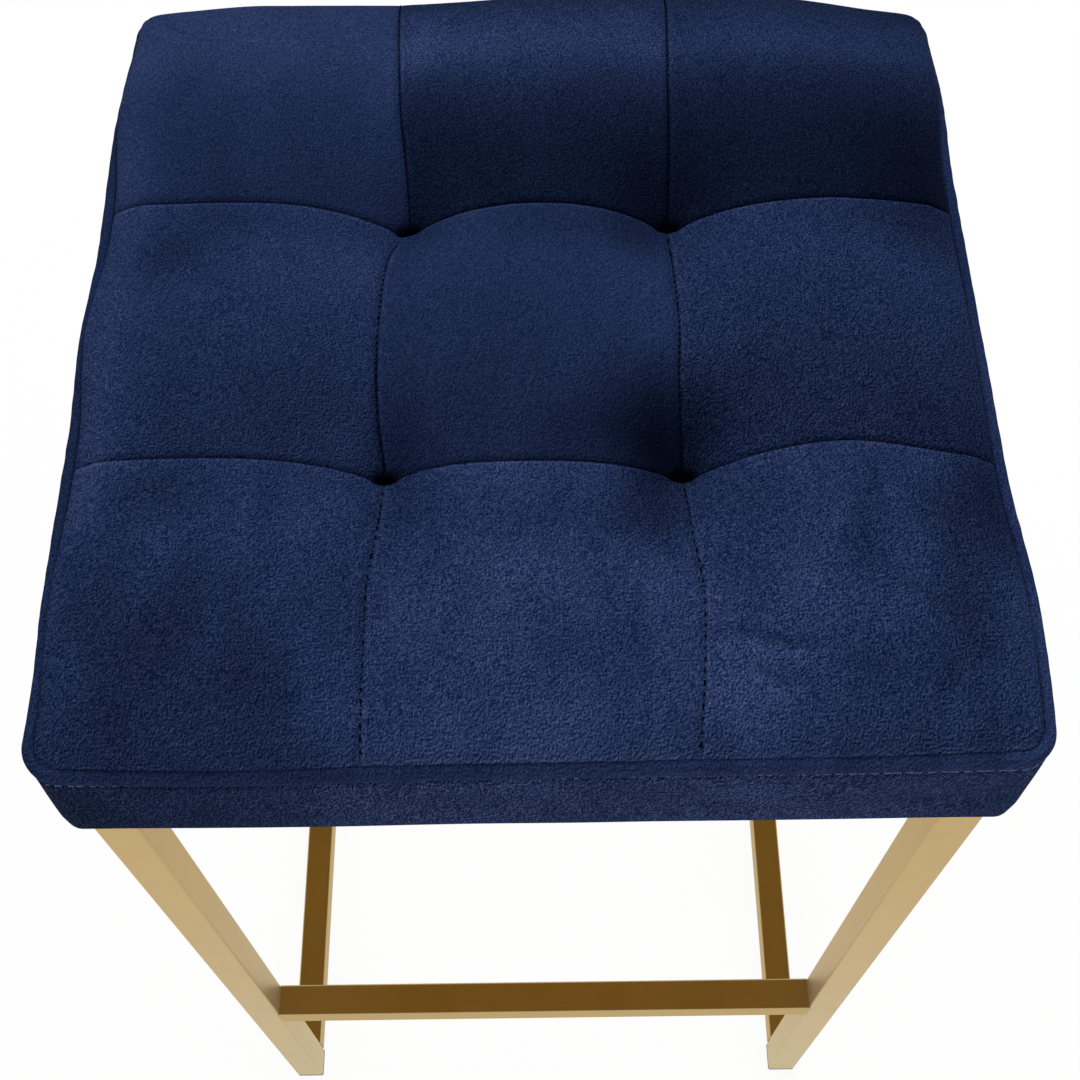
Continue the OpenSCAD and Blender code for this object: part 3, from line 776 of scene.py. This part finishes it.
def blow_up():
    """Blows a coarse copy of the cushion up as cloth. Gives how far its top's points move."""
    count = PANELS * CLOTH_STEPS + 1
    u, v = np.meshgrid(np.linspace(-HALF_X, HALF_X, count), np.linspace(-HALF_Y, HALF_Y, count))
    points, faces = closed_form(cushion_shape(u, v))
    hold = np.zeros_like(u)
    seam_width = HALF_X / count
    on_seam = np.minimum(np.abs(np.abs(u) - SEAM_X), np.abs(np.abs(v) - SEAM_Y)) < seam_width
    hold[on_seam] = SEAM_HOLD
    hold[tuft_depth(u, v) > DIP_DEPTH * TUFT_HOLD] = 1
    hold[np.minimum(HALF_X - np.abs(u), HALF_Y - np.abs(v)) < seam_width] = 1
    hold = np.concatenate([hold.ravel(), np.ones(len(points) - hold.size)])
    obj = mesh_object("cloth_copy", points, faces)
    group = obj.vertex_groups.new(name="held")
    for i, weight in enumerate(hold):
        if weight > 0:
            group.add([i], float(weight), "REPLACE")
    cloth = obj.modifiers.new("cloth", "CLOTH")
    cloth.settings.vertex_group_mass = "held"
    cloth.settings.use_pressure = True
    cloth.settings.uniform_pressure_force = CLOTH_PRESSURE
    cloth.settings.effector_weights.gravity = 0
    cloth.settings.quality = 6
    cloth.point_cache.frame_start = 1
    cloth.point_cache.frame_end = CLOTH_FRAMES
    for number in range(1, CLOTH_FRAMES + 1):
        bpy.context.scene.frame_set(number)
    blown = obj.evaluated_get(bpy.context.evaluated_depsgraph_get())
    after = np.empty(len(points) * 3)
    blown.data.vertices.foreach_get("co", after)
    move = (after.reshape(-1, 3) - np.array(points))[: count * count]
    bpy.data.objects.remove(obj)
    bpy.context.scene.frame_set(1)
    length = np.maximum(np.linalg.norm(move, axis=1), TINY)
    move *= (CLOTH_CAP * np.tanh(length / CLOTH_CAP) / length)[:, None]
    return move.reshape(count, count, 3)


def uneven(points, scale, seed):
    """Smooth noise between about -1 and 1 at the points."""
    return np.array([noise.noise(Vector(p) * scale + Vector((seed, seed, seed))) for p in points])


def fold(u, v):
    """Depth of the creases where two panels roll down into a seam. The seams that run to the front
    are pressed flat beyond the rear row."""
    def crease(gap):
        t = np.clip(gap / SEAM_FOLD, 0, 1)
        return SEAM_FOLD * (1 - np.sqrt(1 - (1 - t) ** 2))

    across = crease(np.abs(np.abs(v) - SEAM_Y))
    flat = PRESSED_FOLD + (1 - PRESSED_FOLD) * smooth((v - SEAM_Y + PRESSED_FADE) / PRESSED_FADE)
    forward = crease(np.abs(np.abs(u) - SEAM_X)) * flat
    return np.maximum(across, forward)


def flank(gap):
    """1 a little beside a seam, on the side of positive gaps."""
    return np.exp(-(((gap / MM - FLANK_PLACE) / FLANK_WIDE) ** 2))


def panel_of(u, v):
    """Row, from the rear, and column, from the left, of the panel at each place."""
    column = np.where(u < -SEAM_X, 0, np.where(u > SEAM_X, 2, 1))
    row = np.where(v > SEAM_Y, 0, np.where(v < -SEAM_Y, 2, 1))
    return row, column


def pile_tone_and_light(u, v):
    """Tone of the pile in stops: each panel's own, painted light and shade (lighter towards each panel's
    rear, a highlight on the front edge, lit and shaded seam flanks, a sheen along the rear edge), and
    brushed patches that also hold painted shade.
    """
    row, column = panel_of(u, v)
    tone = np.array(PANEL_TONE)[row, column]
    blend = (-SEAM_X - FRONT_BLEND, -SEAM_X + FRONT_BLEND, SEAM_X - FRONT_BLEND, SEAM_X + FRONT_BLEND)
    left, middle, right = PANEL_TONE[2]
    tone = np.where(row == 2, np.interp(u, blend, (left, middle, middle, right)), tone)
    # Painted highlight along the front edge
    front_highlight = EDGE_HIGHLIGHT + EDGE_SLANT * u / HALF_X
    tone = tone + front_highlight * (1 - smooth((HALF_Y + v) / EDGE_WIDE))
    # Painted light and shade on each panel's slopes and on the flanks of the seams
    along = v / SEAM_Y / 2 - np.round(v / SEAM_Y / 2)
    tone = tone + SLOPE_LIGHT_SHADE * np.sin(along * math.pi) * np.where(row == 2, FRONT_SLOPE, 1)
    for gap in (u + SEAM_X, u - SEAM_X, -SEAM_Y - v, SEAM_Y - v):
        tone = tone + FLANK_LIGHT_SHADE * (flank(gap) - flank(-gap))
    su, sv = u / HALF_X, v / HALF_Y
    # Painted sheen along the rear edge
    tone = tone + eased(REAR_SHEEN, sv) / MM * np.array(REAR_SHARE)[column] * (row == 0)
    # Brushed patches, and painted shade round the tufts and along the seams
    for cu, cv, wide, long, stops in np.array(BRUSHED_AND_SHADED) / 100:
        tone = tone + stops * np.exp(-(((su - cu) / wide) ** 2) - ((sv - cv) / long) ** 2)
    for cu, cv, long, wide, angle, stops in STROKES:
        turn = math.radians(angle)
        along = (su - cu) * math.cos(turn) + (sv - cv) * math.sin(turn)
        across = (sv - cv) * math.cos(turn) - (su - cu) * math.sin(turn)
        across = across + STROKE_BEND * wide * np.sin(along / long * STROKE_BENDS)
        tone = tone + stops * np.exp(-((along / long) ** 4) - (across / wide) ** 2)
    return tone


def in_front_of_tuft(v):
    """0 just in front of a tuft, where a forward seam hardly shows, else 1."""
    ahead = np.mod(SEAM_Y - v, 2 * SEAM_Y)
    return np.where(v < SEAM_Y, smooth((ahead - QUIET_LONG) / QUIET_FADE), 1)


def painted_crease_shade(u, v):
    """How much painted shade each place gets, by how deep it lies in a tuft or a seam."""
    deep = np.zeros_like(u)
    for cu, cv in TUFTS:
        far = np.hypot((u - cu) / CREASE_WIDE, (v - cv) / CREASE_LONG)
        deep = np.maximum(deep, TUFT_CREASE * (1 - smooth((far - 0.6) / 0.8)))
    deep = np.maximum(deep, CROSS_CREASE * (1 - smooth(np.abs(np.abs(v) - SEAM_Y) / MM)))
    beside = np.abs(np.abs(u) - SEAM_X)
    in_row = np.array(FORWARD_CREASE)[panel_of(u, v)[0]]
    deep = np.maximum(deep, in_row * in_front_of_tuft(v) * (1 - smooth(beside / MM)))
    pressed = np.zeros_like(u)
    for side, (start, fade) in ((-1, LEFT_PRESSED), (1, RIGHT_PRESSED)):
        pressed += (u * side > 0) * (v > -SEAM_Y) * smooth((start - v) / fade)
    return np.maximum(deep, PRESSED_SEAM_SHADE * pressed * (1 - smooth(beside / PRESSED_WIDE)))


def set_pile(obj, **values):
    """Values that the velvet reads at each point: one for all points, or one for each."""
    for name, given in values.items():
        data = np.zeros(len(obj.data.vertices), dtype=np.float32)
        data[: np.size(given) if np.ndim(given) else None] = np.ravel(given)
        obj.data.attributes.new(name, "FLOAT", "POINT").data.foreach_set("value", data)


def make_cushion(material):
    """The tufted cushion as one closed form. Gives its top's points for the stitches."""
    lines_u = whole_lines(HALF_X)
    lines_v = whole_lines(HALF_Y)
    u, v = np.meshgrid(lines_u, lines_v)
    top = cushion_shape(u, v)
    move = blow_up()
    across = catmull_rom(move.shape[1], lines_u / HALF_X)
    along = catmull_rom(move.shape[0], lines_v / HALF_Y)
    top += np.einsum("ja,abc,ib->jic", along, move, across)
    flat_points = np.stack([u.ravel(), v.ravel(), np.zeros(u.size)], axis=1)
    waves = sum(height * uneven(flat_points, scale, seed) for height, scale, seed in WAVES)
    top[:, :, 2] += rolled(u, v) * (waves.reshape(u.shape) - fold(u, v))
    points, faces = closed_form(top)
    obj = mesh_object("cushion", points, faces)
    grain = np.array(PANEL_GRAIN)[panel_of(u, v)]
    set_pile(obj, nap=pile_tone_and_light(u, v), coarse=grain, crease=painted_crease_shade(u, v))
    finish_piece(obj, material, "velvet")
    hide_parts("seat_cover", "foam_pad")
    return lines_u, lines_v, top


def outline(half_x, half_y, radius, straight, corner):
    """A rounded rectangle, anticlockwise from above, as points with outward directions."""
    places = []
    for k in range(4):
        angle = k * math.pi / 2
        sx = 1 if k in (0, 3) else -1
        sy = 1 if k in (0, 1) else -1
        mid = Vector((sx * (half_x - radius), sy * (half_y - radius)))
        for i in range(corner + 1):
            a = angle + math.pi / 2 * i / corner
            way = Vector((math.cos(a), math.sin(a)))
            places.append((mid + radius * way, way))
        run = 2 * ((half_x if k % 2 == 0 else half_y) - radius)
        side = Vector((math.cos(angle + math.pi / 2), math.sin(angle + math.pi / 2)))
        along = Vector((-side.y, side.x))
        start = places[-1][0]
        for i in range(1, straight):
            places.append((start + along * run * i / straight, side))
    return places


def tube_faces(count, sides, closed, base=0):
    """Faces of a tube that has a ring of points at each of its places, from the base point on."""
    faces = []
    for i in range(count if closed else count - 1):
        a = [base + i * sides + k for k in range(sides)]
        b = [base + (i + 1) % count * sides + k for k in range(sides)]
        faces += [(a[k], b[k], b[(k + 1) % sides], a[(k + 1) % sides]) for k in range(sides)]
    return faces


def squared(value, power):
    """A cosine or sine drawn towards a square."""
    return math.copysign(abs(value) ** (2 / power), value)


def welt_place(x, y):
    """Where the seat's edge really is, for a place on the true outline."""
    move_x, move_y, lift = edge_move(np.array(x), np.array(y))
    return x + float(move_x), y + float(move_y), float(lift)


def edge_light_shade(tones, fade, points):
    """Painted light and shade along the front, from left to right, which fades out towards the rear."""
    spots = np.array(points)
    start, slope = fade
    share = np.clip(start - slope * spots[:, 1] / HALF_Y, 0, 1)
    return eased(tones, spots[:, 0] / HALF_X) / MM * share


def wobble(x, y, z, scale, size):
    """A smooth stray at a place, with about scale waves in a metre and up to about size."""
    return noise.noise(Vector((x * scale, y * scale, z))) * size


def make_welt(material):
    """The covered cord, pressed flat between its two seams and slightly uneven."""
    half_w = (WELT_HIGH.z - WELT_LOW.z) / 2 + WELT_EXTRA
    mid_z = (WELT_HIGH.z + WELT_LOW.z) / 2 + WELT_EXTRA
    half_x, half_y = WELT_HIGH.x - WELT_INSET, WELT_HIGH.y - WELT_INSET
    path = outline(half_x, half_y, WELT_CORNER, straight=190, corner=14)
    turns = 20
    points = []
    for place, side in path:
        x, y, lift = welt_place(place.x, place.y)
        wave = wobble(place.x, place.y, 0, scale=45, size=0.35 * MM) + lift
        swell = 1 + wobble(place.x, place.y, 0, scale=160, size=0.06)
        for k in range(turns):
            a = 2 * math.pi * k / turns
            out = WELT_HALF * swell * squared(math.cos(a), 3)
            up = half_w * swell * squared(math.sin(a), 3)
            points.append((x + side.x * out, y + side.y * out, mid_z + up + wave))
    obj = mesh_object("welt_cord", points, tube_faces(len(path), turns, True))
    set_pile(obj, nap=edge_light_shade(WELT_LIGHT_SHADE, WELT_FADE, points), coarse=WELT_GRAIN)
    finish_piece(obj, material, "velvet")
    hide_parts("welt")


def band_rows():
    """The side cloth's section from its tucked-in edge, round its lower edge, up to the welt: how far it
    stands out, its height, and its share of the way up."""
    low = BAND_LOW.z
    rows = [(-BAND_END, low + MM, 0), (-BAND_END, low, 0)]
    rows += [(-gap * MM, low, 0) for gap in BAND_GAPS]
    rows += [(-BAND_BEND, low - 0.4 * BAND_DROP, 0)]
    start = low - BAND_DROP + BAND_TURN
    for k in range(TURN_ROWS + 1):
        a = math.pi / 2 * k / TURN_ROWS
        rows.append((BAND_TURN * (math.sin(a) - 1), start - BAND_TURN * math.cos(a), 0.02))
    for k in range(1, SIDE_ROWS + 1):
        t = k / SIDE_ROWS
        sewn = rising(t, BAND_SEWN)
        full = BAND_FULL * min(1, 5 * t) * (1 - sewn)
        rows.append((full - BAND_TUCK * sewn, start + (BAND_TOP - start) * t, t))
    return rows


def kept_move(move, place, z, t):
    """The share of the edge's move that the side cloth follows: none where the board stops it."""
    share = 0.0 if t == 0 else BAND_FOLLOWS + (1 - BAND_FOLLOWS) * t
    if move * place < 0:
        share *= float(smooth((z - BOARD_TOP) / (WELT_LOW.z - BOARD_TOP)))
    return share


def make_side_band(material):
    """The side cloth: sewn to the welt, slightly full, turned in under the board."""
    points = []
    sewn = []
    for push, z, t in band_rows():
        radius = BAND_CORNER + BAND_OPENS * t
        path = outline(BAND_HIGH.x, BAND_HIGH.y, radius, straight=150, corner=12)
        for (px, py), side in path:
            x, y, lift = welt_place(px, py)
            x = px + (x - px) * kept_move(x - px, px, z, t)
            y = py + (y - py) * kept_move(y - py, py, z, t)
            wave = wobble(px, py, 3, scale=22, size=0.5 * MM) * (t > 0)
            pucker = wobble(px, py, 9, scale=110, size=0.35 * MM) * t**6
            fullness = wobble(px, py, z * 30, scale=14, size=0.7 * MM) * min(1, 4 * t)
            out = push + pucker + fullness
            points.append((x + side.x * out, y + side.y * out, z + wave * (1 - t) + lift * t))
        # Painted shade along the crease where the side cloth is sewn in under the welt
        sewn += [BAND_SHADE * float(rising(t, BAND_SHADED))] * len(path)
    n = len(path)
    faces = []
    for k in range(n, len(points), n):
        faces += bridge(range(k - n, k), range(k, k + n))
    obj = mesh_object("side_band", points, faces)
    # Painted light and shade along the front of the side cloth
    tone = edge_light_shade(BAND_LIGHT_SHADE, BAND_FADE, points)
    set_pile(obj, nap=tone, crease=sewn, coarse=BAND_GRAIN)
    finish_piece(obj, material, "velvet")
    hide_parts("border")


def thread_bits(name, bits, radius, material):
    """Short rounded bits of thread, each given by its middle, its direction, its up side and its length."""
    sides = 8
    points = []
    faces = []
    for middle, along, up, length in bits:
        along = along.normalized()
        across = along.cross(up).normalized()
        up = across.cross(along)
        base = len(points)
        for step, width in THREAD_SHAPE:
            at = middle + along * (step * length / 2) - up * (THREAD_SAG * radius * step * step)
            for k in range(sides):
                a = 2 * math.pi * k / sides
                points.append(at + (across * math.cos(a) + up * math.sin(a)) * radius * width)
        faces += tube_faces(len(THREAD_SHAPE), sides, False, base)
        faces.append(tuple(base + k for k in range(sides)))
        last = base + (len(THREAD_SHAPE) - 1) * sides
        faces.append(tuple(last + k for k in reversed(range(sides))))
    finish_piece(mesh_object(name, points, faces), material, "twine")


def way_along(points):
    """The length of a line of points up to each of them."""
    return np.concatenate([[0], np.cumsum(np.linalg.norm(np.diff(points, axis=0), axis=1))])


def along_line(points, step):
    """Middles and directions at even steps along a line of points."""
    run = way_along(points)
    spots = np.arange(step / 2, run[-1], step)
    at = np.stack([np.interp(spots, run, points[:, k]) for k in range(3)], axis=1)
    ahead = np.stack([np.interp(spots + 0.5 * MM, run, points[:, k]) for k in range(3)], axis=1)
    return [(Vector(a), Vector(b - a)) for a, b in zip(at, ahead) if np.linalg.norm(b - a) > 1e-6]


def sew_seams(lines_u, lines_v, top, material):
    """Thread that shows in the valleys of the seams, near black so that it also paints the shade of the
    stitch holes, and the tufts' own stitches.
    """
    bits = []
    up = Vector((0, 0, 1))
    for sign in (-1, 1):
        column = top[:, int(np.argmin(np.abs(lines_u - sign * SEAM_X)))]
        row = top[int(np.argmin(np.abs(lines_v - sign * SEAM_Y)))]
        split = int(np.argmin(np.abs(lines_v + SEAM_Y))) + 1
        parts = (
            (column[:split], 0.35 * MM, FRONT_STEP),
            (column[split - 1:], 0.5 * MM, SEAM_STEP),
            (row, 0.0, FRONT_STEP),
        )
        for line, rise, step in parts:
            for middle, along in along_line(line, step):
                chance = noise.noise(middle * 700)
                length = (0.36 + 0.4 * chance) * step
                if in_front_of_tuft(middle.y) > 0.7:
                    bits.append((middle + up * (rise + 0.5 * MM * chance), along, up, length))
    thread_bits("seam_stitches", bits, SEAM_THREAD, material)
    bits = []
    for cu, cv in TUFTS:
        at = Vector(top[int(np.argmin(np.abs(lines_v - cv))), int(np.argmin(np.abs(lines_u - cu)))])
        for turn in (0.3, 1.9):
            along = Vector((math.cos(turn), math.sin(turn), 0))
            bits.append((at + up * (1.4 * MM + turn * 0.2 * MM), along, up, 7 * MM))
    thread_bits("tuft_stitches", bits, TUFT_THREAD, material)


def sew_band(material):
    """The line of thread under the welt. It lies more open towards the front corners."""
    bits = []
    path = []
    sides = []
    stands = 0.55 * MM
    for place, side in outline(BAND_HIGH.x, BAND_HIGH.y, 12 * MM, straight=220, corner=10):
        x, y, lift = welt_place(place.x, place.y)
        path.append((x + side.x * stands, y + side.y * stands, WELT_LOW.z - 0.3 * MM + lift))
        sides.append(Vector((*side, 0)))
    points = np.array(path)
    run = way_along(points)
    for spot in np.arange(BAND_STEP / 2, run[-1], BAND_STEP):
        k = int(np.searchsorted(run, spot)) - 1
        at = Vector(points[k])
        along = Vector(points[k + 1] - points[k])
        side = sides[k]
        in_front = at.y < FRONT_LIMIT
        shown = float(eased(THREAD_SHOWS, at.x / HALF_X)) / MM if in_front else 0.4
        chance = noise.noise(at * 400)
        length = (0.4 + 0.4 * shown + 0.3 * chance) * BAND_STEP
        sunk = (0.5 - 0.6 * shown + 0.3 * chance) * MM
        bits.append((at - side * sunk, along, side, length))
    thread_bits("band_stitches", bits, BAND_THREAD, material)


def make_dust_cover(material):
    """Thin non-woven cloth stapled under the seat, coloured tan so that the gold tops below mirror it as a
    painted reflection.
    """
    count = 60
    most_sag = 1.5 * MM
    level = DUST_LOW.z + 0.3 * MM
    half_x, half_y = DUST_HIGH.x, DUST_HIGH.y
    points = []
    for j in range(count + 1):
        for i in range(count + 1):
            x = half_x * (2 * i / count - 1)
            y = half_y * (2 * j / count - 1)
            sag = (1 - (x / half_x) ** 2) * (1 - (y / half_y) ** 2) * most_sag
            ripple = wobble(x, y, 0, scale=30, size=0.4 * MM)
            points.append((x, y, level - sag + ripple * min(1, sag / MM)))
    obj = mesh_object("dust_sheet", points, grid_faces(count + 1, count + 1))
    finish_piece(obj, material, "dust_cloth")
    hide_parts("dust_cover")


def make_welds(material):
    """A thin weld bead round each end of the tubes that butt against the legs and rails."""
    across = ("foot_rail", "runner_rear", "top_rail_front", "top_rail_rear")
    forward = ("runner_left", "runner_right", "top_rail_left", "top_rail_right")
    bead = 0.35 * MM
    sunk = 0.25 * MM
    sides = 8
    points = []
    faces = []
    for name in across + forward:
        axis = int(name in forward)
        low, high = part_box(name)
        middle = (low + high) / 2
        half = (high.z - low.z) / 2 - sunk
        loop = outline(half, half, 2.2 * MM, straight=14, corner=6)
        for end, inward in ((low[axis], 1), (high[axis], -1)):
            base = len(points)
            for i, (place, side) in enumerate(loop):
                size = bead * (1 + 0.18 * math.sin(i * 1.9) * math.sin(i * 0.37 + end * 40))
                for k in range(sides):
                    a = 2 * math.pi * k / sides
                    spread = place + side * (size * math.cos(a))
                    shift = inward * (0.1 * MM + size * math.sin(a))
                    point = [0, 0, middle.z + spread.y]
                    point[axis] = end + shift
                    point[1 - axis] = middle[1 - axis] + spread.x
                    points.append(point)
            faces += tube_faces(len(loop), sides, True, base)
    finish_piece(mesh_object("weld_beads", points, faces), material, "gold_tube")


def dress_nodes(gold, leg_gold_painted_paler):
    """Materials for the CAD nodes that stay."""
    plastic = plain_material("glide_plastic", (0.022, 0.020, 0.018), 0.25, 700, 0.55)
    plywood = plain_material("plywood", (0.45, 0.31, 0.17), 0.25, 60, 0.7)
    zinc = plain_material("zinc_plating", (0.55, 0.56, 0.56), 0.12, 300, 0.35, metal=1.0)
    twine = plain_material("waxed_twine", (0.003, 0.004, 0.009), 0.3, 900, 0.8)
    wire = plain_material("staple_wire", (0.5, 0.5, 0.5), 0.1, 400, 0.35, metal=1.0)
    finishes = (
        (("leg",), leg_gold_painted_paler, "gold_tube"),
        (("glide",), plastic, "glide_plastic"),
        (("seat_board",), plywood, "plywood"),
        (("t_nuts", "seat_bolts", "bolt_washers"), zinc, "zinc_steel"),
        (("tuft_twines",), twine, "twine"),
        (("cover_staples", "dust_staples"), wire, "staple_wire"),
    )
    for name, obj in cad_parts.items():
        if obj.hide_render:
            continue
        found = [finish for starts, *finish in finishes if name.startswith(starts)]
        coat(obj, *(found[0] if found else (gold, "gold_tube")))


bpy.context.scene.view_settings.view_transform = "Standard"
place_camera()
light_world()
lay_floor()
light_lamps()

gold = gold_material("gold_plating", (0.515, 0.39, 0.20), (0.515, 0.39, 0.20), 1.0, 0.31)
# A paler, less metallic copy of the plating for the legs: painted light, as legs and rails share one finish
leg_gold_painted_paler = gold_material("gold_satin_painted_paler", (0.68, 0.575, 0.37), (0.62, 0.44, 0.19), 0.6, 0.42)
velvet = velvet_material("navy_velvet")
# The dust cloth's tan colour is a painted reflection: the gold rails' tops mirror it as brown
dust_cloth = plain_material("dust_cloth", (0.45, 0.245, 0.02), 0.12, 500, 0.95)
# Near-black thread: real stitches, and painted shade of the stitch holes along the seams
dark_thread_and_shade = plain_material("dark_thread_and_shade", (0.0008, 0.0018, 0.006), 0.3, 2500, 0.9, shine=0.02)
pale_thread = plain_material("pale_thread", (0.12, 0.17, 0.30), 0.3, 2500, 0.8, shine=0.1)

lines_u, lines_v, top = make_cushion(velvet)
make_welt(velvet)
make_side_band(velvet)
make_dust_cover(dust_cloth)
sew_seams(lines_u, lines_v, top, dark_thread_and_shade)
sew_band(pale_thread)
make_welds(gold)
dress_nodes(gold, leg_gold_painted_paler)
